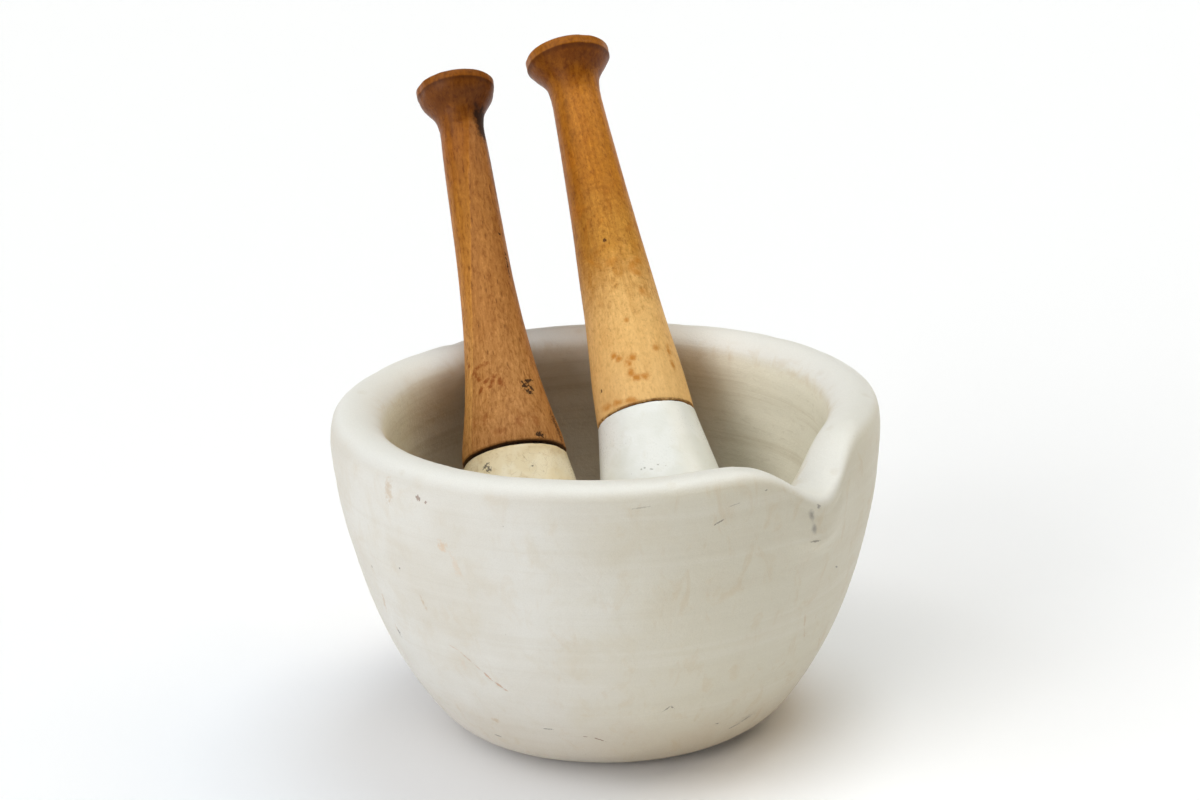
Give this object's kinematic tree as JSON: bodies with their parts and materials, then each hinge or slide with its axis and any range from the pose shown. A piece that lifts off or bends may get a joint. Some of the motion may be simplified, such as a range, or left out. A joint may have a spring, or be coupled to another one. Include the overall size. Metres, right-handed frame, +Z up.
{
  "type": "mortar and pestles",
  "caption": "Thick-walled stoneware mortar with a pressed pouring spout and wooden-handled ceramic pestles that lift straight out.",
  "frame": {"origin": "centre of the mortar's flat foot", "axes": "+Z up, +X from the centre towards the pouring spout, +Y to the left of the spout seen from the centre"},
  "size_m": [0.31, 0.2741, 0.2915],
  "materials": {
    "mortar_stoneware": "unglazed biscuit, satin matte",
    "left_handle_wood": "worn varnished hardwood",
    "left_head_ceramic": "yellowed, satin",
    "left_cement": "dark resin cement, matte",
    "right_handle_wood": "worn varnished hardwood",
    "right_head_ceramic": "white, semi-gloss",
    "right_cement": "dark resin cement, matte"
  },
  "bodies": {
    "mortar": {"mortar_bowl": "mortar_stoneware"},
    "left_pestle": {"left_pestle_handle": "left_handle_wood", "left_pestle_cement": "left_cement", "left_pestle_head": "left_head_ceramic"},
    "right_pestle": {"right_pestle_handle": "right_handle_wood", "right_pestle_cement": "right_cement", "right_pestle_head": "right_head_ceramic"}
  },
  "joints": [
    {"name": "left_pestle_lift", "type": "slide", "parent": "mortar", "child": "left_pestle", "axis": [0, 0, 1], "range_m": [0, 0.17]},
    {"name": "right_pestle_lift", "type": "slide", "parent": "mortar", "child": "right_pestle", "axis": [0, 0, 1], "range_m": [0, 0.17]}
  ]
}
